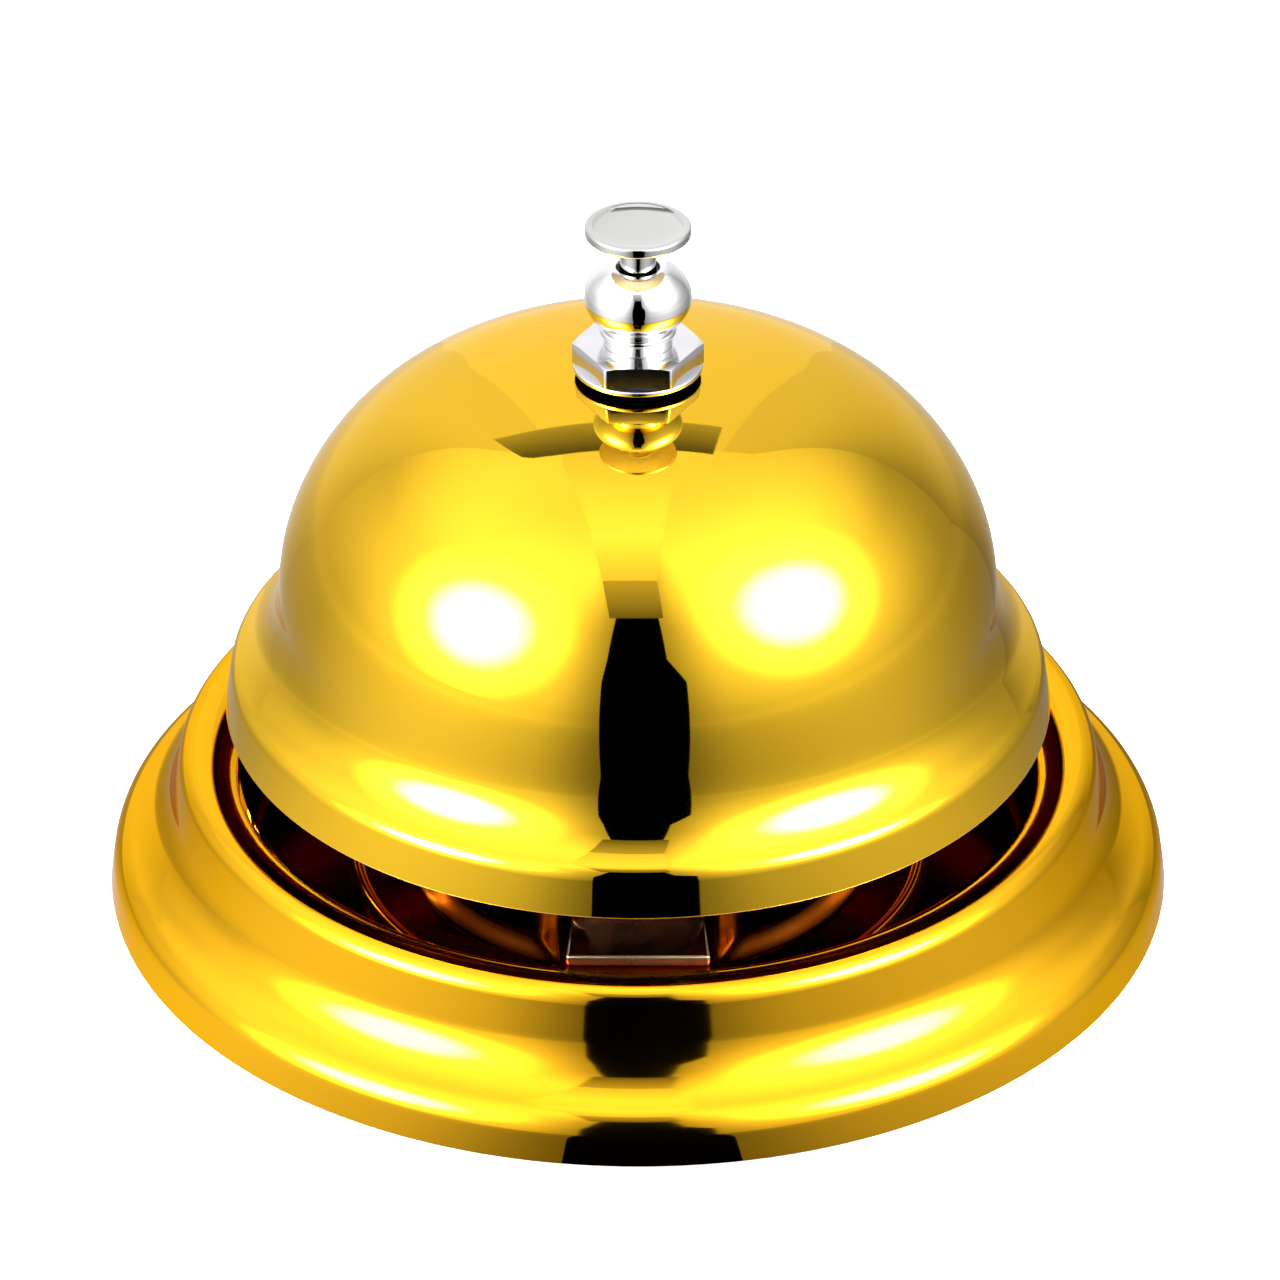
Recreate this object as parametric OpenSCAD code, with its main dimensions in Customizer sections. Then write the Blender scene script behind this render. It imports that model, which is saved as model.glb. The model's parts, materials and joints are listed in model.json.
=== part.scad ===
// Desk service bell: a pressed bell on a hollow post, rung by a push button through a rocking hammer lever.
// The table is z = 0, the bell's axis is Z and the front is -Y. All sizes are in millimetres.

/* [Base] */
// Radius of the skirt's standing rim
skirt_r = 42.5; // [42:0.1:44]
// Height of the standing rim above the table
rim_gap = 0.6; // [0.55:0.01:0.7]
// Thickness of the pressed skirt and floor sheets
sheet_t = 0.6; // [0.5:0.05:0.6]
// Radius of the floor plate
floor_r = 23.3; // [22.5:0.1:24]
// Outer radius of the raised D-shaped pads of the floor
pad_r = 18.9; // [18:0.1:19.5]
// Height of the raised D-shaped pads
pad_h = 1.0; // [0.8:0.05:1.1]
// Radius of each rubber foot
foot_r = 4; // [3:0.1:4.5]

/* [Bell] */
// Radius of the bell's rim
bell_r = 32.86; // [32.4:0.02:33.2]
// Thickness of the bell's wall
bell_t = 0.6; // [0.5:0.05:0.7]
// Height of the bell's rim above the table
bell_rim_z = 16.75; // [16.6:0.05:16.9]

/* [Button] */
// Radius of the button's disc
button_r = 4.15; // [3.5:0.05:5]
// Height of the button's rim above the table
button_z = 58.8; // [58.5:0.1:60]
// Thickness of the button's rim
button_t = 0.8; // [0.7:0.05:1]
// Travel of the button
travel = 2.7; // [2:0.1:2.7]

/* [Collar and nut] */
// Radius of the ball-shaped collar
ball_r = 4.19; // [4:0.01:4.4]
// Half height of the ball-shaped collar before its ends are cut
ball_h = 3.085; // [3:0.005:3.2]
// Half width of the hexagon across its flats
nut_flat = 4.46; // [4.2:0.02:4.6]
// Radius of the nut's round flange
nut_flange_r = 5.04; // [4.9:0.02:5.3]

/* [Hammer] */
// Distance from the bell's axis to the hammer's pivot
pivot_x = 5.8; // [5.6:0.05:5.9]
// Height of the hammer's pivot
pivot_z = 16.5; // [16.4:0.05:16.6]
// Distance from the pivot to the centre of the hammer's head
hammer_l = 22.4; // [20:0.1:22.5]
// Angle of the resting arm below the horizontal
arm_drop = 19.4; // [19.4:0.2:23]
// Radius of the hammer's head
head_r = 2.2; // [1.8:0.1:2.2]

/* [Return spring] */
// Diameter of the spring's wire
wire_d = 0.4; // [0.3:0.05:0.45]
// Mean radius of the coils
coil_r = 1.9; // [1.85:0.01:1.95]
// Number of turns
turns = 10; // [6:1:12]

/* [Hidden] */
$fn = 96;
eps = 0.01;
// How far a cutter or a joined shape reaches past the faces it meets
cut = 1;
// Radial clearance of a loose fit and of a thread or press fit
fit_gap = 0.05;
close_gap = 0.02;
// Degrees of turn, and length, between two points of a bent outline at most
bend_step = 6;
bend_length = 1.2;

// Base levels: underside of the skirt's inner flange, its top, and the top of the floor plate
flange_low = 1.1;
flange_top = flange_low + sheet_t;
floor_top = flange_top + sheet_t;
flange_in_r = 21;
foot_ring_r = 26.5;
foot_count = 4;
foot_taper = 0.3;
bead_r = 0.45;
// Slope of a pad's side: how far it runs in as it rises to the pad's top
pad_slope = 1.2;
pad_side_x = 6.1;

// A state is [x, y, heading]. A run is [0, length] for a straight and [radius, turn] for an arc,
// where a positive turn bends to the left.
function moved(s, run, part) = run[0] == 0
    ? [s[0] + part * run[1] * cos(s[2]), s[1] + part * run[1] * sin(s[2]), s[2]]
    : let (a = s[2], b = a + part * run[1], k = sign(run[1]) * run[0])
        [s[0] + k * (sin(b) - sin(a)), s[1] - k * (cos(b) - cos(a)), b];
function arc_length(run) = run[0] * abs(run[1]) * PI / 180;
function stops(run) = run[0] == 0
    ? 1
    : max(2, ceil(abs(run[1]) / bend_step), ceil(arc_length(run) / bend_length));
function trace(s, runs, i = 0) = i == len(runs) ? [s] : concat(
    [for (j = [0:stops(runs[i]) - 1]) moved(s, runs[i], j / stops(runs[i]))],
    trace(moved(s, runs[i], 1), runs, i + 1)
);
function after(s, runs, i = 0) = i == len(runs) ? s : after(moved(s, runs[i], 1), runs, i + 1);
// Outline of a sheet whose one face follows the states and whose other face lies t to their left
function sheet(states, t) = concat(
    [for (s = states) [s[0], s[1]]],
    [for (i = [len(states) - 1:-1:0])
        let (s = states[i]) [s[0] - t * sin(s[2]), s[1] + t * cos(s[2])]]
);

// Outer face of the skirt: lip, flare, side, shoulder and turned-in mouth
skirt_start = [skirt_r, rim_gap, 98.26];
skirt_rise = [[0, 2.13], [2.58, 60], [5.56, -57.1], [0, 2.5], [1.52, 75.7], [4.28, 49.1], [0.75, 44.04]];
well_top = after(skirt_start, skirt_rise);
well_fillet_r = 1.2;
skirt_runs = concat(skirt_rise, [
    [0, well_top[1] - flange_top - well_fillet_r], [well_fillet_r, -90],
    [0, well_top[0] - well_fillet_r - flange_in_r]
]);

// Outer face of the bell: rim, lip, waist, wall and shoulder, then the cap, whose centre is on the axis
bell_start = [bell_r, bell_rim_z, 99.9];
bell_rise = [[0, 2.98], [1.56, 48.9], [6.78, -59.7], [16.25, 21], [19.2, 57]];
cap_start = after(bell_start, bell_rise);
cap_r = cap_start[0] / sin(cap_start[2]);
cap_centre_z = cap_start[1] + cap_r * cos(cap_start[2]);
crown_z = cap_centre_z + cap_r;
// Radius inside which the crown is cut away for the bell's hole
crown_cut_r = 1;
bell_runs = concat(bell_rise, [[cap_r, 180 - asin(crown_cut_r / cap_r) - cap_start[2]]]);
function dome_z(r) = cap_centre_z + sqrt(cap_r * cap_r - r * r);

// Front-to-back bar in the channel between the pads
bar_t = 1.0;
bar_top = floor_top + bar_t;
bar_end_y = 17.8;
bar_neck_y = 12.7;
bar_half_w = 5.25;
bar_end_half_w = 5.7;
rivet_y = 7;
rivet_r = 1;
rivet_hole_r = 1.05;
rivet_head_r = 1.6;
rivet_head_h = 0.9;
rivet_tail_h = 0.7;

// Arch bracket over the bar
arch_t = 1.0;
arch_half_w = 5.2;
arch_half_y = 11;
arch_foot_y = 4.9;
arch_top = 24;
arch_bend_r = 1.8;

// Bell seat: steel washer, fibre washer, bell, flanged nut
support_r = 6;
support_t = 0.6;
fibre_r = 5.2;
bell_hole_r = 2.5;
nut_bore_r = 2.47;
nut_face_r = 3.4;
nut_face_h = 0.25;
nut_flange_h = 0.4;
nut_hex_h = 1.8;
nut_flange_z = crown_z + nut_face_h;
nut_hex_z = nut_flange_z + nut_flange_h;
nut_top = nut_hex_z + nut_hex_h;
nut_corner_r = 0.65;
nut_chamfer = 0.25;

// Post: spigot through the bracket, barrel that holds the spring, nose through the bell
spigot_r = 3.2;
spigot_low = 19.7;
post_r = 3.6;
post_foot_r = 5;
post_foot_h = 1.2;
seat_drop = 1.95;
seat_z = crown_z - seat_drop;
spring_bore_r = 2.4;
bore_step_depth = 1.2;
spring_bore_top = seat_z - bore_step_depth;
nose_r = 2.45;
nose_inset = 0.2;
nose_top = nut_top - nose_inset;
tip_r = 1.9;
tip_h = 3.8;
tip_top = nut_top + tip_h;
guide_r = 1.45;
bush_h = 3.3;
bush_top = spigot_low + bush_h;
bush_flange_r = 3;
bush_flange_h = 0.5;

// Yoke, washer and slotted nut under the bracket
yoke_t = 0.8;
yoke_top = arch_top - arch_t;
yoke_low = yoke_top - yoke_t;
ear_half_w = 1.5;
ear_in_y = 2.2;
ear_out_y = ear_in_y + yoke_t;
yoke_pad_r = 5;
washer_t = 0.4;
ring_nut_r = 4.1;
ring_nut_h = 1.9;
ring_nut_top = yoke_low - washer_t;
ring_slot_w = 1;
ring_slot_d = 0.7;

// Hammer pivot
pin_r = 0.8;
pin_hole_r = 0.85;
pin_head_r = 1.3;
pin_head_h = 0.6;
pin_end_y = -4;
clip_y = -3.1;
clip_t = 0.4;
clip_r = 1.4;
spacer_r = 1.5;
spacer_in_y = 0.9;
spacer_out_y = 2.15;

// Hammer lever: the toe rises as much above the pivot at rest as it drops below it at full travel
arm_half_t = 0.8;
toe_r = 0.75;
toe_rise = asin(travel / 2 / pivot_x);
pivot = [-pivot_x, pivot_z];
toe = pivot + pivot_x * [cos(toe_rise), sin(toe_rise)];
head_c = pivot + hammer_l * [-cos(arm_drop), -sin(arm_drop)];
hub_r = 1.9;
// The arm ends below its toe, so that only the round nose reaches up to the rod
nose_drop = 0.8;
nose_root_r = 0.6;
nose_root = toe + nose_drop * [sin(toe_rise), -cos(toe_rise)];
arm_end_r = 1.4;
head_half_w = 2.6;
head_chamfer = 0.4;
head_rivet_r = 0.7;
head_rivet_hole_r = 0.72;
head_rivet_cap_r = 1.2;
head_rivet_cap_h = 0.4;
head_rivet_bevel = 0.3;

// Plunger: rod, its collar, and the button with its stem
rod_r = 1.4;
toe_gap = 0.08;
rod_low = toe[1] + toe_r + toe_gap;
rod_chamfer = 0.3;
stem_r = 1.41;
tip_gap = 0.6;
stem_low = tip_top + tip_gap;
spigot_bore_r = 0.92;
rod_spigot_r = 0.9;
rod_spigot_l = 3.4;
rod_collar_r = 2.3;
rod_collar_top = spring_bore_top - fit_gap;
rod_collar_h = 0.95;
rod_collar_low = rod_collar_top - rod_collar_h;
button_dish = 0.28;
button_edge_r = 0.22;

// Ball collar: neck, bead, ball and rounded mouth
neck_r = 2.3;
neck_bore_r = 1.92;
neck_bead_rise = 1.4;
neck_bead_z = nut_top + neck_bead_rise;
neck_bead_r = 0.32;
ball_rise = 4;
ball_z = nut_top + ball_rise;
ball_low_angle = -52;
ball_high_angle = 55;
mouth_edge_r = 0.5;

// Places its children with their own Z along the bell's Y axis at a point of the XZ plane
module across(p) {
    translate([p[0], 0, p[1]])
        rotate([90, 0, 0])
            children();
}

// Flat link between two round ends, with straight sides that touch both
module link(p, p_r, q, q_r) {
    run = q - p;
    a = atan2(run[1], run[0]);
    b = acos((p_r - q_r) / norm(run));
    steps = 24;
    polygon(concat(
        [for (i = [0:steps])
            let (c = a + b + (360 - 2 * b) * i / steps) p + p_r * [cos(c), sin(c)]],
        [for (i = [0:steps])
            let (c = a - b + 2 * b * i / steps) q + q_r * [cos(c), sin(c)]]
    ));
}

// Tube or ring between two heights
module ring(r, bore, low, high) {
    difference() {
        translate([0, 0, low])
            cylinder(r = r, h = high - low);
        translate([0, 0, low - cut])
            cylinder(r = bore, h = high - low + 2 * cut);
    }
}

module base_skirt() {
    color("goldenrod")
        rotate_extrude()
            polygon(sheet(trace(skirt_start, skirt_runs), sheet_t));
}

// D-shaped pad on the +X side, with sloping sides, from a level up by pad_h
module pad_form(level, inset) {
    intersection() {
        translate([0, 0, level])
            cylinder(r1 = pad_r - inset, r2 = pad_r - inset - pad_slope, h = pad_h);
        translate([0, pad_r, 0])
            rotate([90, 0, 0])
                linear_extrude(height = 2 * pad_r)
                    polygon([
                        [pad_side_x + inset, level], [pad_side_x + inset + pad_slope, level + pad_h],
                        [pad_r, level + pad_h], [pad_r, level]
                    ]);
    }
}

module floor_plate() {
    color("darkgoldenrod")
        difference() {
            union() {
                translate([0, 0, flange_top])
                    cylinder(r = floor_r, h = sheet_t);
                for (side = [0, 180])
                    rotate([0, 0, side])
                        pad_form(floor_top, 0);
                rotate_extrude()
                    intersection() {
                        translate([floor_r - bead_r, floor_top])
                            circle(r = bead_r);
                        translate([0, floor_top - sheet_t / 2])
                            square([floor_r, 2]);
                    }
            }
            for (side = [0, 180])
                rotate([0, 0, side])
                    pad_form(flange_top - eps, sheet_t);
            for (y = [-rivet_y, rivet_y])
                translate([0, y, 0])
                    cylinder(r = rivet_hole_r, h = 2 * floor_top);
        }
}

module rubber_feet() {
    color("dimgray")
        for (i = [0:foot_count - 1])
            rotate([0, 0, 45 + i * 360 / foot_count])
                translate([foot_ring_r, 0, 0])
                    cylinder(r1 = foot_r - foot_taper, r2 = foot_r, h = flange_low);
}

module floor_bar() {
    color("silver")
        difference() {
            translate([0, 0, floor_top])
                linear_extrude(height = bar_t)
                    polygon([
                        for (c = [[1, -1], [1, 1], [-1, 1], [-1, -1]])
                            for (end = c[0] * c[1] > 0 ? [0, 1] : [1, 0])
                                [c[0] * (end == 1 ? bar_end_half_w : bar_half_w),
                                    c[1] * (end == 1 ? bar_end_y : bar_neck_y)]
                    ]);
            for (y = [-rivet_y, rivet_y])
                translate([0, y, floor_top - cut])
                    cylinder(r = rivet_hole_r, h = bar_t + 2 * cut);
        }
}

// Bent strip: inturned feet on the bar, two legs and a top plate
module arch_bracket() {
    flat = arch_half_y - arch_bend_r;
    leg = arch_top - bar_top - 2 * arch_bend_r;
    states = trace([-arch_foot_y, bar_top, 180], [
        [0, flat - arch_foot_y], [arch_bend_r, -90], [0, leg], [arch_bend_r, -90], [0, 2 * flat],
        [arch_bend_r, -90], [0, leg], [arch_bend_r, -90], [0, flat - arch_foot_y]
    ]);
    color("lightgray")
        difference() {
            translate([-arch_half_w, 0, 0])
                rotate([90, 0, 90])
                    linear_extrude(height = 2 * arch_half_w)
                        polygon(sheet(states, -arch_t));
            for (y = [-rivet_y, rivet_y])
                translate([0, y, bar_top - cut])
                    cylinder(r = rivet_hole_r, h = arch_t + 2 * cut);
            translate([0, 0, arch_top - 2 * arch_t])
                cylinder(r = spigot_r + fit_gap, h = 3 * arch_t);
        }
}

module bracket_rivets() {
    shank_top = bar_top + arch_t;
    dome_r = (rivet_head_r * rivet_head_r + rivet_head_h * rivet_head_h) / 2 / rivet_head_h;
    color("silver")
        for (y = [-rivet_y, rivet_y])
            translate([0, y, 0]) {
                translate([0, 0, flange_top - rivet_tail_h])
                    cylinder(r = rivet_r, h = shank_top + rivet_tail_h - flange_top);
                translate([0, 0, flange_top - rivet_tail_h])
                    cylinder(r = rivet_head_r, h = rivet_tail_h);
                intersection() {
                    translate([0, 0, shank_top + rivet_head_h - dome_r])
                        sphere(r = dome_r);
                    translate([0, 0, shank_top])
                        cylinder(r = rivet_head_r + cut, h = rivet_head_h + cut);
                }
            }
}

module centre_post() {
    color("lightgray")
        difference() {
            union() {
                translate([0, 0, spigot_low])
                    cylinder(r = spigot_r, h = arch_top - spigot_low);
                translate([0, 0, arch_top])
                    cylinder(r = post_foot_r, h = post_foot_h);
                translate([0, 0, arch_top])
                    cylinder(r = post_r, h = seat_z - arch_top);
                translate([0, 0, seat_z])
                    cylinder(r = nose_r, h = nose_top - seat_z);
                translate([0, 0, nose_top])
                    cylinder(r = tip_r, h = tip_top - nose_top);
            }
            translate([0, 0, spigot_low - cut])
                cylinder(r = spring_bore_r, h = spring_bore_top - spigot_low + cut);
            translate([0, 0, spring_bore_top - cut])
                cylinder(r = guide_r, h = tip_top - spring_bore_top + 2 * cut);
        }
}

module guide_bush() {
    color("peru")
        union() {
            ring(spring_bore_r - close_gap, guide_r, spigot_low - bush_flange_h, bush_top);
            ring(bush_flange_r, guide_r, spigot_low - bush_flange_h, spigot_low);
        }
}

// Plate clamped under the bracket, with two ears that hold the hammer's pin
module hammer_yoke() {
    color("lightgray")
        difference() {
            union() {
                translate([0, 0, yoke_low])
                    cylinder(r = yoke_pad_r, h = yoke_t);
                translate([-pivot_x - ear_half_w, -ear_out_y, yoke_low])
                    cube([pivot_x + ear_half_w, 2 * ear_out_y, yoke_t]);
                for (y = [-ear_out_y, ear_in_y])
                    translate([0, y + yoke_t, 0])
                        rotate([90, 0, 0])
                            linear_extrude(height = yoke_t) {
                                translate(pivot)
                                    circle(r = ear_half_w);
                                translate([-pivot_x - ear_half_w, pivot_z])
                                    square([2 * ear_half_w, yoke_low + yoke_t / 2 - pivot_z]);
                            }
            }
            translate([0, 0, yoke_low - cut])
                cylinder(r = spigot_r + fit_gap, h = yoke_t + 2 * cut);
            across(pivot)
                cylinder(r = pin_hole_r, h = 4 * ear_out_y, center = true);
        }
}

module lock_washer() {
    color("gainsboro")
        ring(ring_nut_r, spigot_r + 2 * fit_gap, ring_nut_top, yoke_low);
}

module ring_nut() {
    color("gainsboro")
        difference() {
            ring(ring_nut_r, spigot_r + close_gap, ring_nut_top - ring_nut_h, ring_nut_top);
            for (a = [0:90:270])
                rotate([0, 0, 45 + a])
                    translate([ring_nut_r - ring_slot_d, -ring_slot_w / 2, ring_nut_top - ring_nut_h - cut])
                        cube([ring_slot_d + cut, ring_slot_w, ring_nut_h + 2 * cut]);
        }
}

module pivot_pin() {
    color("silver")
        across(pivot) {
            translate([0, 0, -ear_out_y])
                cylinder(r = pin_r, h = ear_out_y - pin_end_y);
            translate([0, 0, -ear_out_y - pin_head_h])
                cylinder(r = pin_head_r, h = pin_head_h);
        }
}

module pivot_clip() {
    color("dimgray")
        across(pivot)
            ring(clip_r, pin_r + eps, -clip_y, -clip_y + clip_t);
}

module pivot_spacers() {
    color("peru")
        across(pivot)
            for (z = [-spacer_out_y, spacer_in_y])
                ring(spacer_r, pin_hole_r, z, z + spacer_out_y - spacer_in_y);
}

module support_washer() {
    color("silver")
        ring(support_r, nose_r + fit_gap, seat_z, seat_z + support_t);
}

// Soft washer whose top lies against the inside of the crown
module fibre_washer() {
    low = seat_z + support_t;
    bore = nose_r + fit_gap;
    color("saddlebrown")
        rotate_extrude()
            polygon(concat(
                [[fibre_r, low], [bore, low]],
                [for (i = [0:6])
                    let (r = bore + (fibre_r - bore) * i / 6)
                        [r, dome_z(r) - bell_t - close_gap]]
            ));
}

module bell_dome() {
    color("gold")
        difference() {
            rotate_extrude()
                polygon(sheet(trace(bell_start, bell_runs), bell_t));
            translate([0, 0, crown_z - 5])
                cylinder(r = bell_hole_r, h = 10);
        }
}

module flanged_nut() {
    apothem = nut_flat - nut_corner_r;
    color("gainsboro")
        difference() {
            union() {
                translate([0, 0, crown_z])
                    cylinder(r = nut_face_r, h = nut_face_h);
                translate([0, 0, nut_flange_z])
                    cylinder(r = nut_flange_r, h = nut_flange_h);
                intersection() {
                    translate([0, 0, nut_hex_z])
                        linear_extrude(height = nut_hex_h) {
                            for (a = [0:60:300])
                                rotate(a) {
                                    translate([apothem / cos(30), 0])
                                        circle(r = nut_corner_r);
                                    rotate(30)
                                        translate([0, -apothem * tan(30)])
                                            square([nut_flat, 2 * apothem * tan(30)]);
                                }
                        }
                    rotate_extrude()
                        polygon([
                            [0, nut_hex_z - cut], [nut_flange_r + cut, nut_hex_z - cut],
                            [nut_flange_r + 1, nut_top - nut_chamfer - 1],
                            [nut_flange_r, nut_top - nut_chamfer], [nut_flange_r - 3 * nut_chamfer, nut_top],
                            [0, nut_top]
                        ]);
                }
            }
            translate([0, 0, crown_z - cut])
                cylinder(r = nut_bore_r, h = nut_top - crown_z + 2 * cut);
        }
}

module ball_collar() {
    high = [ball_r * cos(ball_high_angle), ball_z + ball_h * sin(ball_high_angle)];
    lean = atan2(sin(ball_high_angle) / ball_h, cos(ball_high_angle) / ball_r);
    edge = high - mouth_edge_r * [cos(lean), sin(lean)];
    bore_top = tip_top + 2 * fit_gap;
    color("whitesmoke")
        rotate_extrude() {
            polygon(concat(
                [[neck_bore_r, nut_top], [neck_r, nut_top]],
                [[neck_r, ball_z + ball_h * sin(ball_low_angle)]],
                [for (i = [0:24])
                    let (a = ball_low_angle + (ball_high_angle - ball_low_angle) * i / 24)
                        [ball_r * cos(a), ball_z + ball_h * sin(a)]],
                [for (i = [1:12])
                    let (a = lean + (180 - lean) * i / 12)
                        edge + mouth_edge_r * [cos(a), sin(a)]],
                [[edge[0] - mouth_edge_r, bore_top], [neck_bore_r, bore_top]]
            ));
            translate([neck_r, neck_bead_z])
                circle(r = neck_bead_r, $fn = 32);
        }
}

// Dished disc on a stem that hides the rod's spigot
module button_head() {
    low = button_z - button_t;
    color("whitesmoke")
        difference() {
            rotate_extrude()
                polygon(concat(
                    [[0, stem_low], [stem_r, stem_low], [stem_r, low]],
                    [for (i = [0:6])
                        let (a = -90 + 90 * i / 6)
                            [button_r - button_edge_r + button_edge_r * cos(a),
                                low + button_edge_r + button_edge_r * sin(a)]],
                    [for (i = [0:6])
                        let (a = 90 * i / 6)
                            [button_r - button_edge_r + button_edge_r * cos(a),
                                button_z - button_edge_r + button_edge_r * sin(a)]],
                    [for (i = [0:10])
                        let (f = 1 - i / 10)
                            [f * (button_r - 2 * button_edge_r), button_z - button_dish * (1 - pow(f, 4))]]
                ));
            translate([0, 0, stem_low - cut])
                cylinder(r = spigot_bore_r, h = rod_spigot_l + cut + 2 * fit_gap);
        }
}

module plunger_rod() {
    color("silver")
        union() {
            translate([0, 0, rod_low])
                cylinder(r1 = rod_r - rod_chamfer, r2 = rod_r, h = rod_chamfer);
            translate([0, 0, rod_low + rod_chamfer])
                cylinder(r = rod_r, h = stem_low - rod_low - rod_chamfer);
            translate([0, 0, stem_low - cut])
                cylinder(r = rod_spigot_r, h = rod_spigot_l + cut);
        }
}

module rod_collar() {
    color("gainsboro")
        ring(rod_collar_r, rod_r, rod_collar_low, rod_collar_top);
}

// Round-wire spring between the bush and the rod's collar
module return_spring() {
    segments = 12;
    sides = 6;
    low = bush_top + wire_d / 2;
    high = rod_collar_low - wire_d / 2;
    count = turns * segments;
    points = [
        for (i = [0:count])
            for (j = [0:sides - 1])
                let (a = 360 * i / segments, b = 360 * j / sides, r = coil_r + wire_d / 2 * cos(b))
                    [r * cos(a), r * sin(a), low + (high - low) * i / count + wire_d / 2 * sin(b)]
    ];
    faces = concat(
        [[for (j = [0:sides - 1]) j], [for (j = [sides - 1:-1:0]) count * sides + j]],
        [
            for (i = [0:count - 1])
                for (j = [0:sides - 1])
                    for (half = [0, 1])
                        let (a = i * sides + j, b = i * sides + (j + 1) % sides)
                            half == 0 ? [a, a + sides, b] : [b, a + sides, b + sides]
        ]
    );
    color("slategray")
        polyhedron(points, faces);
}

module hammer_arm() {
    color("lightgray")
        across([0, 0])
            difference() {
                linear_extrude(height = 2 * arm_half_t, center = true) {
                    link(pivot, hub_r, nose_root, nose_root_r);
                    link(nose_root, nose_root_r, toe, toe_r);
                    link(pivot, hub_r, head_c, arm_end_r);
                }
                translate(pivot)
                    cylinder(r = pin_hole_r, h = 4 * arm_half_t, center = true);
                translate(head_c)
                    cylinder(r = head_rivet_hole_r, h = 4 * arm_half_t, center = true);
            }
}

// Round brass striker, slotted for the arm
module hammer_head() {
    color("darkgoldenrod")
        difference() {
            across(head_c) {
                cylinder(r = head_r, h = 2 * (head_half_w - head_chamfer), center = true);
                for (end = [0, 180])
                    rotate([end, 0, 0])
                        translate([0, 0, head_half_w - head_chamfer])
                            cylinder(r1 = head_r, r2 = head_r - head_chamfer, h = head_chamfer);
            }
            across([0, 0])
                linear_extrude(height = 2 * arm_half_t, center = true)
                    link(pivot, hub_r + close_gap, head_c, arm_end_r + close_gap);
            across(head_c)
                cylinder(r = head_rivet_hole_r, h = 4 * head_half_w, center = true);
        }
}

module hammer_rivet() {
    color("silver")
        across(head_c) {
            cylinder(r = head_rivet_r, h = 2 * head_half_w, center = true);
            for (end = [0, 180])
                rotate([end, 0, 0])
                    translate([0, 0, head_half_w])
                        cylinder(
                            r1 = head_rivet_cap_r, r2 = head_rivet_cap_r - head_rivet_bevel,
                            h = head_rivet_cap_h
                        );
        }
}

base_skirt();
floor_plate();
rubber_feet();
floor_bar();
arch_bracket();
bracket_rivets();
centre_post();
guide_bush();
hammer_yoke();
lock_washer();
ring_nut();
pivot_pin();
pivot_clip();
pivot_spacers();
support_washer();
fibre_washer();
bell_dome();
flanged_nut();
ball_collar();
button_head();
plunger_rod();
rod_collar();
return_spring();
hammer_arm();
hammer_head();
hammer_rivet();
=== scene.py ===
import json
import math

import bmesh
import bpy
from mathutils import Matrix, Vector


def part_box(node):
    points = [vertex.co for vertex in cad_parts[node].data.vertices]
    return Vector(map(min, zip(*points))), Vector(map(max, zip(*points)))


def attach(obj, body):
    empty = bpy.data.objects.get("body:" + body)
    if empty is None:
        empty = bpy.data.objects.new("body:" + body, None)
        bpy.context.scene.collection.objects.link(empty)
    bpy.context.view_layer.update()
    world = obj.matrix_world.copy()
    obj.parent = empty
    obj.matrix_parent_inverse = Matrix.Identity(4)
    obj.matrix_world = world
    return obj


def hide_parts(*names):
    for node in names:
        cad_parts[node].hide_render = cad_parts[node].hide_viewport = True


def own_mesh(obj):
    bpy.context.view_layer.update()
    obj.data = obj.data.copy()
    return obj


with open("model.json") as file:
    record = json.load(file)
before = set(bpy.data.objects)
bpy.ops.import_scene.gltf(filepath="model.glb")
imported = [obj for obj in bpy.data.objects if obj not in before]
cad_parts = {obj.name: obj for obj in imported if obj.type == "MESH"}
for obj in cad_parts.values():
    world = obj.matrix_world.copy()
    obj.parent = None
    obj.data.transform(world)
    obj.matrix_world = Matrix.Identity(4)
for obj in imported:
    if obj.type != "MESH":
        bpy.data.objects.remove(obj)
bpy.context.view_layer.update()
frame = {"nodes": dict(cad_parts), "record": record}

# A desk service bell. Outlines are in millimetres, as runs of straights and arcs; MM turns them into metres.
MM = 0.001
LATHE_SEGMENTS = 288
BEND_STEP = 3.0
CHORD_GAP = 0.002
CORNER_TURN = 35
CORNER_STEPS = 6
CORNER_SHARE = 0.45
NO_LENGTH = 1e-9
WELD_GAP = 1e-7


# ---- outlines ----------------------------------------------------------------------------------

def moved(state, run, part):
    """State [x, y, heading] after a share of a run: (0, length) is a straight, (radius, turn) an arc."""
    x, y, heading = state
    a = math.radians(heading)
    if run[0] == 0:
        return (x + part * run[1] * math.cos(a), y + part * run[1] * math.sin(a), heading)
    turned = heading + part * run[1]
    b = math.radians(turned)
    k = math.copysign(run[0], run[1])
    return (x + k * (math.sin(b) - math.sin(a)), y - k * (math.cos(b) - math.cos(a)), turned)


def after(state, runs):
    for run in runs:
        state = moved(state, run, 1)
    return state


def chords(radius, turn):
    """How many chords follow an arc to within CHORD_GAP, and never turn by more than BEND_STEP."""
    step = min(BEND_STEP, 2 * math.degrees(math.acos(1 - min(1, CHORD_GAP / radius))))
    return max(2, math.ceil(abs(turn) / step))


def trace(state, runs):
    states = []
    for run in runs:
        steps = 1 if run[0] == 0 else chords(*run)
        states += [moved(state, run, i / steps) for i in range(steps)]
        state = moved(state, run, 1)
    return states + [state]


def sheet(states, thickness):
    """Closed outline of a sheet whose other face lies to the left of the states."""
    def left(s):
        a = math.radians(s[2])
        return (s[0] - thickness * math.sin(a), s[1] + thickness * math.cos(a))
    return [(s[0], s[1]) for s in states] + [left(s) for s in reversed(states)]


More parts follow.
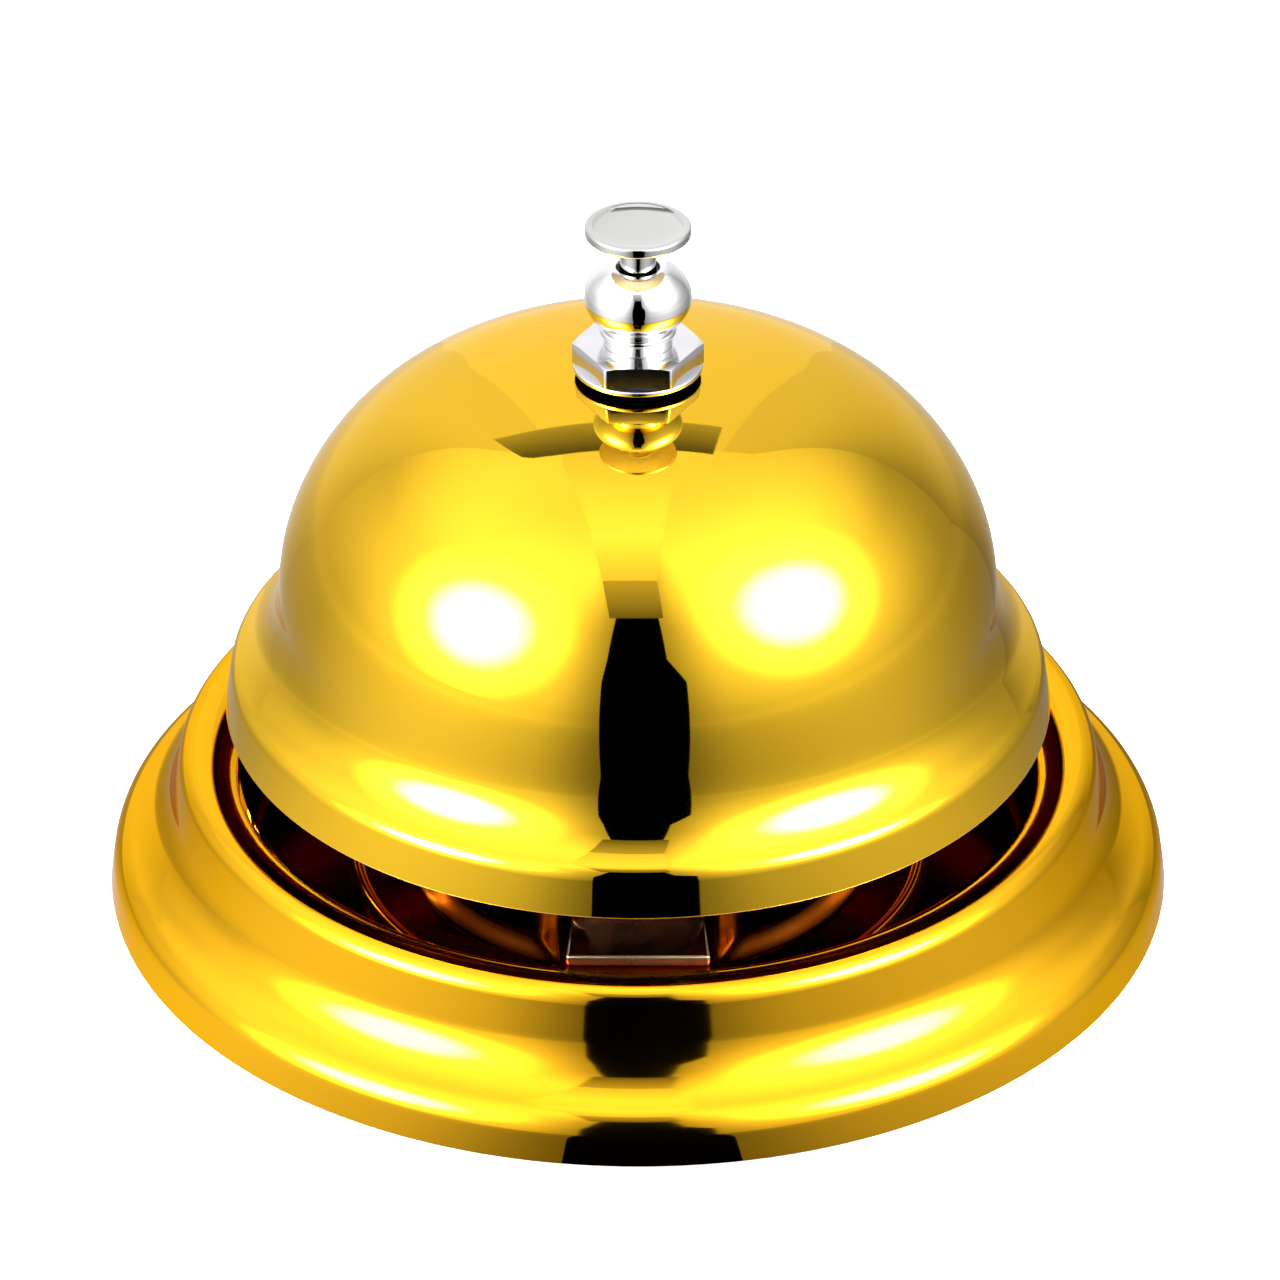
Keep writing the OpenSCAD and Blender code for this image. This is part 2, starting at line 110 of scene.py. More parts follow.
def rounded(points, radius):
    """The closed outline with each corner sharper than CORNER_TURN turned into a smooth curve."""
    out = []
    count = len(points)
    for i, p in enumerate(points):
        here = Vector(p)
        back = Vector(points[i - 1]) - here
        ahead = Vector(points[(i + 1) % count]) - here
        if back.length < NO_LENGTH or ahead.length < NO_LENGTH:
            continue
        turn = math.pi - back.angle(ahead)
        if math.degrees(turn) < CORNER_TURN:
            out.append(p)
            continue
        trim = min(radius * math.tan(turn / 2), CORNER_SHARE * back.length, CORNER_SHARE * ahead.length)
        start = here + back.normalized() * trim
        end = here + ahead.normalized() * trim
        for j in range(CORNER_STEPS + 1):
            t = j / CORNER_STEPS
            q = (1 - t) ** 2 * start + 2 * t * (1 - t) * here + t ** 2 * end
            out.append((q.x, q.y))
    return out


# ---- meshes ------------------------------------------------------------------------------------

def piece(name, verts, faces, material, body, nodes, sharp=35):
    """A smooth-shaded mesh piece, in millimetres, that stands for CAD nodes."""
    mesh = bpy.data.meshes.new(name)
    mesh.from_pydata([(x * MM, y * MM, z * MM) for x, y, z in verts], [], faces)
    bm = bmesh.new()
    bm.from_mesh(mesh)
    bmesh.ops.remove_doubles(bm, verts=bm.verts, dist=WELD_GAP)
    bmesh.ops.recalc_face_normals(bm, faces=bm.faces)
    bm.to_mesh(mesh)
    bm.free()
    mesh.shade_smooth()
    mesh.set_sharp_from_angle(angle=math.radians(sharp))
    mesh.materials.append(material)
    obj = bpy.data.objects.new(name, mesh)
    bpy.context.scene.collection.objects.link(obj)
    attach(obj, body)
    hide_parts(*nodes)
    return obj


def lathe_data(outline, centre=(0, 0), segments=LATHE_SEGMENTS):
    """Vertices and faces of a closed outline of (radius, height) turned about a vertical axis."""
    verts, faces = [], []
    count = len(outline)
    for s in range(segments):
        a = 2 * math.pi * s / segments
        for r, z in outline:
            verts.append((centre[0] + max(r, 0) * math.cos(a), centre[1] + max(r, 0) * math.sin(a), z))
    for s in range(segments):
        n = (s + 1) % segments
        for i in range(count):
            j = (i + 1) % count
            if outline[i][0] <= 0 and outline[j][0] <= 0:
                continue
            if outline[i][0] <= 0:
                faces.append((s * count + i, n * count + j, s * count + j))
            elif outline[j][0] <= 0:
                faces.append((s * count + i, n * count + i, s * count + j))
            else:
                faces.append((s * count + i, n * count + i, n * count + j, s * count + j))
    return verts, faces


def joined(parts):
    """Several (vertices, faces) pairs as one."""
    verts, faces = [], []
    for v, f in parts:
        faces += [tuple(i + len(verts) for i in face) for face in f]
        verts += v
    return verts, faces


def rings_data(rings):
    """A skin over a closed loop of rings of equal length, such as the wall of a tube."""
    count = len(rings[0])
    verts = [p for ring in rings for p in ring]
    faces = []
    for k in range(len(rings)):
        m = (k + 1) % len(rings)
        for i in range(count):
            j = (i + 1) % count
            faces.append((k * count + i, k * count + j, m * count + j, m * count + i))
    return verts, faces


def ease(t):
    t = min(1.0, max(0.0, t))
    return t * t * (3 - 2 * t)


# ---- materials ---------------------------------------------------------------------------------

class Wires:
    """Short ways to add nodes to a material or a world."""

    def __init__(self, tree):
        self.tree = tree

    def node(self, kind, **settings):
        made = self.tree.nodes.new("ShaderNode" + kind)
        for key, value in settings.items():
            setattr(made, key, value)
        return made

    def put(self, value, socket):
        """A socket is linked; a number or a colour is set."""
        if isinstance(value, bpy.types.NodeSocket):
            self.tree.links.new(value, socket)
        else:
            socket.default_value = value

    def fill(self, made, values):
        for name, value in values.items():
            self.put(value, made.inputs[name])

    def split(self, value):
        """The X, Y and Z of a vector."""
        made = self.node("SeparateXYZ")
        self.put(value, made.inputs["Vector"])
        return made.outputs

    def math(self, operation, *values):
        made = self.node("Math", operation=operation)
        for value, socket in zip(values, made.inputs):
            self.put(value, socket)
        return made.outputs["Value"]

    def vector(self, operation, *values):
        made = self.node("VectorMath", operation=operation)
        for value, socket in zip(values, made.inputs):
            self.put(value, socket)
        return made.outputs["Value" if operation in ("DOT_PRODUCT", "LENGTH") else "Vector"]

    def ramp(self, value, start, end, low=0.0, high=1.0, kind="SMOOTHSTEP"):
        """Low where value is start, high where it is end."""
        made = self.node("MapRange", interpolation_type=kind)
        self.fill(made, {"Value": value, "From Min": start, "From Max": end, "To Min": low, "To Max": high})
        return made.outputs["Result"]

    def blend(self, share, a, b):
        made = self.node("Mix", data_type="RGBA")
        self.fill(made, {"Factor": share, "A": a, "B": b})
        return made.outputs["Result"]

    def noise(self, place, scale, detail):
        made = self.node("TexNoise")
        self.fill(made, {"Vector": place, "Scale": scale, "Detail": detail})
        return made.outputs["Fac"]

    def bump(self, height, strength, depth, normal):
        made = self.node("Bump")
        self.fill(made, {"Height": height, "Strength": strength, "Distance": depth})
        if normal:
            self.put(normal, made.inputs["Normal"])
        return made.outputs["Normal"]


COAT_ROUGH, COAT_IOR = 0.02, 1.5
SMUDGE_RANGE = (0.35, 0.7)
PATCH_SCALE = 0.6
WAVE_SCALE, WAVE_DEPTH = 45, 0.0004
GRAIN_DEPTH = 0.00002
TINT_SHARE = 0.93
WORN_RANGE = (0.52, 0.6)
WORN_GAIN, WORN_LIFT = 1.25, 0.05
PAINTED_SLOPE_RANGE = (0.985, 0.9)
SLOPE_ROUGH = 0.12


def finish(name, colour, rough, spread, metallic=1.0, coat=0.0, rim=(1, 1, 1), wave=0.0, grain=0.0,
           grain_scale=900, grain_depth=GRAIN_DEPTH, smudge_scale=70, worn=0.0, painted_slope_highlight=None):
    """A surface with uneven polish, slow waves left by pressing, fine grain and paler worn edges.

    Where a colour is given for sloping faces, they take it as a painted highlight and are a little rougher.
    """
    material = bpy.data.materials.new(name)
    material.use_nodes = True
    w = Wires(material.node_tree)
    shader = material.node_tree.nodes["Principled BSDF"]
    shader.inputs["Metallic"].default_value = metallic
    shader.inputs["Coat Weight"].default_value = coat
    shader.inputs["Coat Roughness"].default_value = COAT_ROUGH
    shader.inputs["Coat IOR"].default_value = COAT_IOR
    shader.inputs["Specular Tint"].default_value = (*rim, 1)
    place = w.node("TexCoord").outputs["Object"]

    smudges = w.noise(place, smudge_scale, detail=5)
    polish = w.ramp(smudges, *SMUDGE_RANGE, rough, rough + spread, "LINEAR")

    patches = w.noise(place, smudge_scale * PATCH_SCALE, detail=3)
    shade = w.blend(patches, (*colour, 1), (*[c * TINT_SHARE for c in colour], 1))
    if worn:
        edges = w.node("NewGeometry").outputs["Pointiness"]
        pale = (*[min(1, c * WORN_GAIN + WORN_LIFT) for c in colour], 1)
        shade = w.blend(w.ramp(edges, *WORN_RANGE, 0.0, worn, "LINEAR"), shade, pale)
    # Painted highlight: faces that slope away from level take the given paler colour, standing in for light
    # they catch.
    if painted_slope_highlight:
        tilt = w.split(w.node("NewGeometry").outputs["Normal"])
        share = w.ramp(tilt["Z"], *PAINTED_SLOPE_RANGE)
        shade = w.blend(share, shade, (*painted_slope_highlight, 1))
        polish = w.math("MULTIPLY_ADD", share, SLOPE_ROUGH, polish)
    w.fill(shader, {"Roughness": polish, "Base Color": shade})

    normal = None
    if wave:
        normal = w.bump(w.noise(place, WAVE_SCALE, detail=1), wave, WAVE_DEPTH, normal)
    if grain:
        normal = w.bump(w.noise(place, grain_scale, detail=4), grain, grain_depth, normal)
    if normal:
        w.put(normal, shader.inputs["Normal"])
    return material


LOOKS = {
    "bell_gold": finish("bell_gold", (0.80, 0.475, 0.016), 0.015, 0.03, coat=0.08, rim=(0.95, 0.85, 0.6),
                        wave=0.02, smudge_scale=40),
    # Painted highlight: the rim's lower faces are pale cream for the bright line along the bell's rim.
    "bell_rim_painted_highlight": finish("bell_rim_painted_highlight", (0.95, 0.78, 0.42), 0.12, 0.1, grain=0.1),
    # Painted shade: near-black brown for the shade inside the bell.
    "bell_inside_painted_shade": finish("bell_inside_painted_shade", (0.12, 0.03, 0.008), 0.3, 0.05, rim=(0.3, 0.1, 0.04),
                          smudge_scale=60),
    "base_gold": finish("base_gold", (0.87, 0.45, 0.011), 0.05, 0.04, coat=0.05, rim=(0.9, 0.7, 0.4),
                        wave=0.03, smudge_scale=40),
    # Painted shade and painted reflection: the gold floor's top is dark red-brown for the shade under the
    # bell, and its pad slopes bright orange for the reflected light they show.
    "floor_painted_shade_and_highlight": finish("floor_painted_shade_and_highlight", (0.28, 0.05, 0.008), 0.06, 0.06, rim=(0.6, 0.2, 0.06), wave=0.04,
                         smudge_scale=90, painted_slope_highlight=(0.9, 0.2, 0.012)),
    # Painted shade: near black for the shade down in the base's well.
    "well_painted_shade": finish("well_painted_shade", (0.03, 0.005, 0.002), 0.1, 0.1, rim=(0.3, 0.1, 0.05), smudge_scale=90),
    # Painted shade and painted highlight: the plated strap is dark brown for the shade and dark reflections
    # under the bell, and its rolled edges pale cream for the bright line along them.
    "bar_painted_shade_and_highlight": finish("bar_painted_shade_and_highlight", (0.26, 0.1, 0.05), 0.12, 0.06, rim=(0.6, 0.4, 0.2), wave=0.03,
                        smudge_scale=160, painted_slope_highlight=(0.95, 0.78, 0.45)),
    # Painted shade: a darker copy of the nickel plate, so that the button's top reads grey.
    "button_plate_painted_shade": finish("button_plate_painted_shade", (0.6, 0.6, 0.59), 0.03, 0.03, smudge_scale=160),
    "nickel_plate": finish("nickel_plate", (0.83, 0.83, 0.83), 0.03, 0.04, smudge_scale=160),
    "satin_plate": finish("satin_plate", (0.6, 0.6, 0.6), 0.55, 0.1, grain=0.1, smudge_scale=160),
    # Painted shadow: near black for the dark gap under the nut's flange.
    "nut_gap_painted_shadow": finish("nut_gap_painted_shadow", (0.02, 0.004, 0.003), 0.25, 0.1, rim=(0.1, 0.03, 0.02), smudge_scale=160),
    "nut_plate": finish("nut_plate", (0.74, 0.73, 0.76), 0.09, 0.06, grain=0.1, smudge_scale=160),
    "zinc_steel": finish("zinc_steel", (0.5, 0.51, 0.53), 0.22, 0.16, grain=0.35, worn=0.5, smudge_scale=260),
    "bright_steel": finish("bright_steel", (0.62, 0.62, 0.62), 0.08, 0.08, grain=0.15, worn=0.3),
    "spring_steel": finish("spring_steel", (0.33, 0.33, 0.35), 0.2, 0.12, grain=0.3),
    "plain_brass": finish("plain_brass", (0.66, 0.45, 0.16), 0.14, 0.14, grain=0.3, worn=0.4,
                          smudge_scale=220),
    "felt": finish("felt", (0.06, 0.02, 0.01), 0.85, 0.15, metallic=0.0, grain=0.6, grain_scale=2500,
                   grain_depth=0.0001, smudge_scale=200),
    "foot_rubber": finish("foot_rubber", (0.018, 0.018, 0.018), 0.6, 0.15, metallic=0.0, grain=0.6,
                          grain_scale=1600, grain_depth=0.00004, smudge_scale=200),
}


def repaint(obj, look, chosen):
    """The chosen faces of a piece take another look."""
    obj.data.materials.append(LOOKS[look])
    for face in obj.data.polygons:
        if chosen(face):
            face.material_index = len(obj.data.materials) - 1


def outward(face):
    """How far a face looks away from the bell's axis, from -1 to 1."""
    return face.normal.dot(Vector((face.center.x, face.center.y, 0)).normalized())


# ---- pressed gold shells -----------------------------------------------------------------------

# A rise is a shell's outer face from its foot up. (0, length) is a straight and (radius, turn) an arc.
SHEET_T = 0.6
SHEET_EDGE_R = 0.22
FACING = 0.05
FACING_DOWN = 0.3
BELL_RISE = [(0, 2.98), (1.56, 48.9), (6.78, -59.7), (16.25, 21), (19.2, 57)]
BELL_HEADING = 99.9
BELL_HOLE_R = 2.5
SKIRT_RISE = [(0, 2.13), (2.58, 60), (5.56, -57.1), (0, 2.5), (1.52, 75.7), (4.28, 49.1), (0.75, 44.04)]
SKIRT_HEADING = 98.26
WELL_FILLET_R = 1.2
FLANGE_IN_R = 21


def bell_shell():
    """The bell from its rim flange up over shoulder, waist and wall to a flat crown with the post's hole."""
    low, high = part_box("bell_dome")
    start = (high.x / MM, low.z / MM, BELL_HEADING)
    cap = after(start, BELL_RISE)
    cap_r = cap[0] / math.sin(math.radians(cap[2]))
    hole_turn = 180 - math.degrees(math.asin(BELL_HOLE_R / cap_r)) - cap[2]
    outline = sheet(trace(start, BELL_RISE + [(cap_r, hole_turn)]), SHEET_T)
    verts, faces = lathe_data(rounded(outline, SHEET_EDGE_R))
    shell = piece("bell_shell", verts, faces, LOOKS["bell_gold"], "base", ["bell_dome"])

    def at_rim(face):
        return face.center.z < low.z + SHEET_EDGE_R * MM

    def inside(face):
        return outward(face) < -FACING or (face.normal.z < -FACING_DOWN and not at_rim(face))

    # Painted shade: the shell's inner faces are near-black brown for the shade inside the bell.
    repaint(shell, "bell_inside_painted_shade", inside)
    # Painted highlight: the rim's lower faces take a pale cream colour for the bright line along the rim.
    repaint(shell, "bell_rim_painted_highlight", lambda face: at_rim(face) and face.normal.z < FACING)


WELL_WALL_TOP = 0.6
WELL_WALL_SLACK = 0.1


def skirt_shell():
    """The flared base. Its opening turns in and down, to a flange that the floor lies on."""
    low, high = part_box("base_skirt")
    start = (high.x / MM, low.z / MM, SKIRT_HEADING)
    top = after(start, SKIRT_RISE)
    flange_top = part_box("floor_plate")[0].z / MM
    inward = [
        (0, top[1] - flange_top - WELL_FILLET_R), (WELL_FILLET_R, -90),
        (0, top[0] - WELL_FILLET_R - FLANGE_IN_R),
    ]
    outline = sheet(trace(start, SKIRT_RISE + inward), SHEET_T)
    verts, faces = lathe_data(rounded(outline, SHEET_EDGE_R))
    shell = piece("skirt_shell", verts, faces, LOOKS["base_gold"], "base", ["base_skirt"])
    wall_r = (top[0] + WELL_WALL_SLACK) * MM
    wall_top = (top[1] - WELL_WALL_TOP) * MM

    def in_well(face):
        down_in = math.hypot(face.center.x, face.center.y) < wall_r and face.center.z < wall_top
        return down_in and (face.normal.z > FACING or outward(face) < -FACING)

    # Painted shade: the faces down in the well are near black.
    repaint(shell, "well_painted_shade", in_well)


PAD_R = 18.9
PAD_SIDE_X = 6.1
PAD_SLOPE = 2.1
PAD_H = 1.0
PAD_CORNER = 0.9
BEAD_R = 0.45
PLATE_RINGS = 116
PLATE_SEGMENTS = 420


def floor_pressing():
    """The pressed floor: two raised D-shaped pads with a channel between them, and a rolled ring edge."""
    low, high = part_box("floor_plate")
    plate_r = high.x / MM
    under = low.z / MM

    def lift(x, y):
        """The pads' rise, from how far in a place is from a pad's straight and round sides."""
        r = math.hypot(x, y)
        across, out = abs(x) - PAD_SIDE_X, PAD_R - r
        blend = max(0.0, PAD_CORNER - abs(across - out)) / PAD_CORNER
        inside = min(across, out) - PAD_CORNER * blend * blend / 4
        return PAD_H * ease(inside / PAD_SLOPE)

    def bead(r):
        gap = abs(r - (plate_r - BEAD_R)) / BEAD_R
        return BEAD_R * math.sqrt(max(0.0, 1 - gap * gap))

    def ring(r, level, with_bead):
        points = []
        for s in range(PLATE_SEGMENTS):
            a = 2 * math.pi * s / PLATE_SEGMENTS
            x, y = r * math.cos(a), r * math.sin(a)
            points.append((x, y, level + lift(x, y) + (bead(r) if with_bead else 0)))
        return points

    radii = [plate_r * i / PLATE_RINGS for i in range(1, PLATE_RINGS + 1)]
    top = [ring(r, under + SHEET_T, True) for r in radii]
    bottom = [ring(r, under, False) for r in radii]
    verts = [p for r in bottom for p in r] + [p for r in top for p in r]
    n = PLATE_SEGMENTS
    faces = []

    def strip(first, second, flip):
        for i in range(n):
            j = (i + 1) % n
            quad = (first + i, first + j, second + j, second + i)
            faces.append(tuple(reversed(quad)) if flip else quad)

    for k in range(PLATE_RINGS - 1):
        strip(k * n, (k + 1) * n, True)
        strip((PLATE_RINGS + k) * n, (PLATE_RINGS + k + 1) * n, False)
    strip((PLATE_RINGS - 1) * n, (2 * PLATE_RINGS - 1) * n, False)
    low_centre = len(verts)
    verts += [(0, 0, under), (0, 0, under + SHEET_T)]
    for i in range(n):
        j = (i + 1) % n
        faces.append((low_centre, j, i))
        faces.append((low_centre + 1, PLATE_RINGS * n + i, PLATE_RINGS * n + j))
    # The top takes painted shade and, on its pad slopes, a painted reflection; the underside keeps the plain
    # base gold.
    plate = piece("floor_pressing", verts, faces, LOOKS["floor_painted_shade_and_highlight"], "base", ["floor_plate"],
                  sharp=60)
    repaint(plate, "base_gold", lambda face: face.normal.z < 0)


BAR_HALF_W = 5.25
BAR_END_HALF_W = 5.7
BAR_NECK_Y = 12.7
BAR_EDGE_R = 0.28
BAR_EDGE_STEPS = 4


def floor_bar():
    """The strap in the channel, a little wider at its ends, with rolled edges."""
    low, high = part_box("floor_bar")
    end_y = high.y / MM
    z0, z1 = low.z / MM, high.z / MM
    side = [
        (BAR_END_HALF_W, -end_y), (BAR_HALF_W, -BAR_NECK_Y),
        (BAR_HALF_W, BAR_NECK_Y), (BAR_END_HALF_W, end_y),
    ]
    outline = side + [(-x, -y) for x, y in side]
    bm = bmesh.new()
    base = [bm.verts.new((x, y, z0)) for x, y in outline]
    top = [bm.verts.new((x, y, z1)) for x, y in outline]
    bm.faces.new(list(reversed(base)))
    bm.faces.new(top)
    for i in range(len(outline)):
        j = (i + 1) % len(outline)
        bm.faces.new((base[i], base[j], top[j], top[i]))
    bmesh.ops.bevel(bm, geom=bm.edges[:], offset=BAR_EDGE_R, segments=BAR_EDGE_STEPS, profile=0.5,
                    affect="EDGES")
    bm.verts.index_update()
    verts = [tuple(v.co) for v in bm.verts]
    faces = [tuple(v.index for v in f.verts) for f in bm.faces]
    bm.free()
    # The strap carries painted shade on its top and a painted highlight on its rolled edges.
    piece("floor_strap", verts, faces, LOOKS["bar_painted_shade_and_highlight"], "base", ["floor_bar"])


# ---- nickel-plated top -------------------------------------------------------------------------

NUT_FACE_R = 3.4
NUT_FACE_H = 0.25
NUT_FLANGE_R = 5.04
NUT_FLANGE_H = 0.4
NUT_FLAT = 4.46
NUT_CORNER_R = 0.25
NUT_CHAMFER = 0.13
NUT_CHAMFER_RUN = 3
NUT_BORE_R = 2.47
NUT_FLANGE_EDGE_R = 0.15
NUT_SEGMENTS = 360
NUT_SIDE_IN, NUT_SIDE_DOWN = 0.03, 0.06
NUT_TOP_IN, NUT_TOP_DOWN = 0.05, 0.004
NUT_FACING_DOWN = 0.6


def hexagon_radius(angle):
    """Distance to a hexagon with round corners, with corners at 0, 60 and so on."""
    a = abs((math.degrees(angle) + 30) % 60 - 30)
    corner = (NUT_FLAT - NUT_CORNER_R) / math.cos(math.radians(30))
    side = NUT_FLAT / math.cos(math.radians(30 - a))
    x = corner * math.cos(math.radians(a))
    y = corner * math.sin(math.radians(a))
    if y < NUT_CORNER_R:
        arc = x + math.sqrt(NUT_CORNER_R ** 2 - y ** 2)
        return min(side, arc)
    return side


def nut():
    """A hexagon nut on its flange. A wide cone takes the corners off the top of the hexagon."""
    low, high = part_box("flanged_nut")
    z0, z1 = low.z / MM, high.z / MM
    hex_z = z0 + NUT_FACE_H + NUT_FLANGE_H
    flange = rounded([
        (NUT_BORE_R, z0), (NUT_FACE_R, z0), (NUT_FACE_R, z0 + NUT_FACE_H),
        (NUT_FLANGE_R, z0 + NUT_FACE_H), (NUT_FLANGE_R, hex_z), (NUT_BORE_R, hex_z),
    ], NUT_FLANGE_EDGE_R)
    angles = [2 * math.pi * s / NUT_SEGMENTS for s in range(NUT_SEGMENTS)]

    def ring(radius_of, height_of):
        return [(radius_of(a) * math.cos(a), radius_of(a) * math.sin(a), height_of(a)) for a in angles]

    cone_top_r = NUT_FLANGE_R - NUT_CHAMFER_RUN * NUT_CHAMFER

    def meet(a):
        """The height at which the cone meets the hexagon's side."""
        over = max(0.0, hexagon_radius(a) - cone_top_r)
        return z1 - over / NUT_CHAMFER_RUN

    body = rings_data([
        ring(lambda a: NUT_BORE_R, lambda a: hex_z),
        ring(hexagon_radius, lambda a: hex_z),
        ring(hexagon_radius, lambda a: meet(a) - NUT_SIDE_DOWN),
        ring(lambda a: hexagon_radius(a) - NUT_SIDE_IN, meet),
        ring(lambda a: min(hexagon_radius(a), cone_top_r) - NUT_TOP_IN, lambda a: z1 - NUT_TOP_DOWN),
        ring(lambda a: NUT_BORE_R, lambda a: z1),
    ])
    verts, faces = joined([lathe_data(flange), body])
    body = piece("nut_body", verts, faces, LOOKS["nut_plate"], "base", ["flanged_nut"],
                 sharp=28)
    flange_under = (z0 + NUT_FACE_H) * MM
    # Painted shadow: the nut's foot ring and downward faces are near black for the gap under the flange.
    repaint(body, "nut_gap_painted_shadow", lambda face: face.center.z < flange_under or face.normal.z < -NUT_FACING_DOWN)


BALL_R = 4.19
BALL_H = 3.085
BALL_RISE = 4.0
BALL_LOW, BALL_HIGH = -52, 66
BALL_FLATTENS_AT = 52
NECK_R = 2.7
NECK_BORE_R = 1.92
NECK_BEAD_R = 0.3
NECK_BEAD_RISE = 1.15
MOUTH_EDGE_R = 0.12
MOUTH_OVER_POST = 0.1
BEAD_STEPS = 16
BALL_STEPS = 80


def ball():
    """A squat ball on a beaded neck. Its top flattens towards the mouth that the stem goes through."""
    low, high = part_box("ball_collar")
    z0, z1 = low.z / MM, high.z / MM
    centre = z0 + BALL_RISE
    mouth_r = BALL_R * math.cos(math.radians(BALL_HIGH))
    drop = centre + BALL_H * math.sin(math.radians(BALL_HIGH)) - z1
    outline = [(NECK_BORE_R, z0), (NECK_R, z0)]
    for i in range(BEAD_STEPS + 1):
        a = math.radians(-90 + 180 * i / BEAD_STEPS)
        outline.append((NECK_R + NECK_BEAD_R * math.cos(a), z0 + NECK_BEAD_RISE + NECK_BEAD_R * math.sin(a)))
    outline.append((NECK_R, centre + BALL_H * math.sin(math.radians(BALL_LOW))))
    for i in range(BALL_STEPS + 1):
        turn = BALL_LOW + (BALL_HIGH - BALL_LOW) * i / BALL_STEPS
        a = math.radians(turn)
        flattened = max(0, turn - BALL_FLATTENS_AT) / (BALL_HIGH - BALL_FLATTENS_AT)
        outline.append((BALL_R * math.cos(a), centre + BALL_H * math.sin(a) - drop * flattened ** 2))
    bore_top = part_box("centre_post")[1].z / MM + MOUTH_OVER_POST
    outline += [(mouth_r, bore_top), (NECK_BORE_R, bore_top)]
    verts, faces = lathe_data(rounded(outline, MOUTH_EDGE_R))
    piece("ball_turned", verts, faces, LOOKS["nickel_plate"], "base", ["ball_collar"])


STEM_R = 1.41
BUTTON_T = 0.8
BUTTON_EDGE_R = 0.22
BUTTON_DISH = 0.28
BUTTON_FACING_DOWN = 0.5
FILLET_R = 0.25
FILLET_STEPS = 6
EDGE_STEPS = 12
DISH_STEPS = 40


def button():
    """A dished disc on a round stem."""
    low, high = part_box("button_head")
    z0, z1, r = low.z / MM, high.z / MM, high.x / MM
    under = z1 - BUTTON_T
    outline = [(0, z0), (STEM_R, z0), (STEM_R, under - FILLET_R)]
    for i in range(1, FILLET_STEPS + 1):
        a = math.pi / 2 * i / FILLET_STEPS
        outline.append((STEM_R + FILLET_R * (1 - math.cos(a)), under - FILLET_R + FILLET_R * math.sin(a)))
    for i in range(EDGE_STEPS + 1):
        a = -math.pi / 2 + math.pi / 2 * i / EDGE_STEPS
        outline.append((r - BUTTON_EDGE_R * (1 - math.cos(a)), under + BUTTON_EDGE_R * (1 + math.sin(a))))
    for i in range(EDGE_STEPS + 1):
        a = math.pi / 2 * i / EDGE_STEPS
        outline.append((r - BUTTON_EDGE_R * (1 - math.cos(a)), z1 - BUTTON_EDGE_R * (1 - math.sin(a))))
    for i in range(1, DISH_STEPS + 1):
        f = 1 - i / DISH_STEPS
        outline.append((f * (r - 2 * BUTTON_EDGE_R), z1 - BUTTON_DISH * (1 - f ** 4)))
    verts, faces = lathe_data(outline)
    # Painted shade: the disc takes a darker copy of the nickel plate than the ball and nut.
    disc = piece("button_disc", verts, faces, LOOKS["button_plate_painted_shade"], "plunger",
                 ["button_head"])
    repaint(disc, "satin_plate", lambda face: face.normal.z < -BUTTON_FACING_DOWN)


# ---- spring and feet ---------------------------------------------------------------------------

WIRE_R = 0.2
SPRING_TURNS = 10
SPRING_SEGMENTS = 32
WIRE_SIDES = 14
SPRING_MEAN_R = 1.9
CLOSED_PITCH = 1.05


def spring():
    """Round wire between the bush and the rod's collar, its first and last turns closed up."""
    low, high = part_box("return_spring")
    z0, z1 = low.z / MM + WIRE_R, high.z / MM - WIRE_R
    count = SPRING_TURNS * SPRING_SEGMENTS
    closed = 2 * WIRE_R * CLOSED_PITCH

    def height(turn):
        if turn < 1:
            return z0 + closed * ease(turn) * turn
        if turn > SPRING_TURNS - 1:
            left = SPRING_TURNS - turn
            return z1 - closed * ease(left) * left
        return z0 + closed + (z1 - z0 - 2 * closed) * (turn - 1) / (SPRING_TURNS - 2)

    rings = []
    for i in range(count + 1):
        turn = i / SPRING_SEGMENTS
        a = 2 * math.pi * turn
        ring = []
        for j in range(WIRE_SIDES):
            b = 2 * math.pi * j / WIRE_SIDES
            r = SPRING_MEAN_R + WIRE_R * math.cos(b)
            ring.append((r * math.cos(a), r * math.sin(a), height(turn) + WIRE_R * math.sin(b)))
        rings.append(ring)
    verts = [p for ring in rings for p in ring]
    faces = []
    for i in range(count):
        here, ahead = i * WIRE_SIDES, (i + 1) * WIRE_SIDES
        for j in range(WIRE_SIDES):
            k = (j + 1) % WIRE_SIDES
            faces.append((here + j, here + k, ahead + k, ahead + j))
    faces.append(tuple(range(WIRE_SIDES)))
    faces.append(tuple(count * WIRE_SIDES + j for j in reversed(range(WIRE_SIDES))))
    obj = piece("spring_wire", verts, faces, LOOKS["spring_steel"], "base",
                ["return_spring"], sharp=80)
    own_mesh(obj)


FOOT_R = 4.0
FOOT_RING_R = 26.5
FOOT_TAPER = 0.3
FOOT_EDGE_R = 0.35
FOOT_COUNT = 4
FOOT_SEGMENTS = 96
ON_AXIS = 1e-6


def feet():
    """Four round pads on a ring, a little narrower where they touch the table."""
    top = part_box("rubber_feet")[1].z / MM
    outline = rounded([(0, 0), (FOOT_R - FOOT_TAPER, 0), (FOOT_R, top), (0, top)], FOOT_EDGE_R)
    outline = [(r if r > ON_AXIS else 0, z) for r, z in outline]
    pads = []
    for i in range(FOOT_COUNT):
        a = math.radians(45 + 90 * i)
        centre = (FOOT_RING_R * math.cos(a), FOOT_RING_R * math.sin(a))
        pads.append(lathe_data(outline, centre, FOOT_SEGMENTS))
    verts, faces = joined(pads)
    piece("foot_pads", verts, faces, LOOKS["foot_rubber"], "base", ["rubber_feet"])


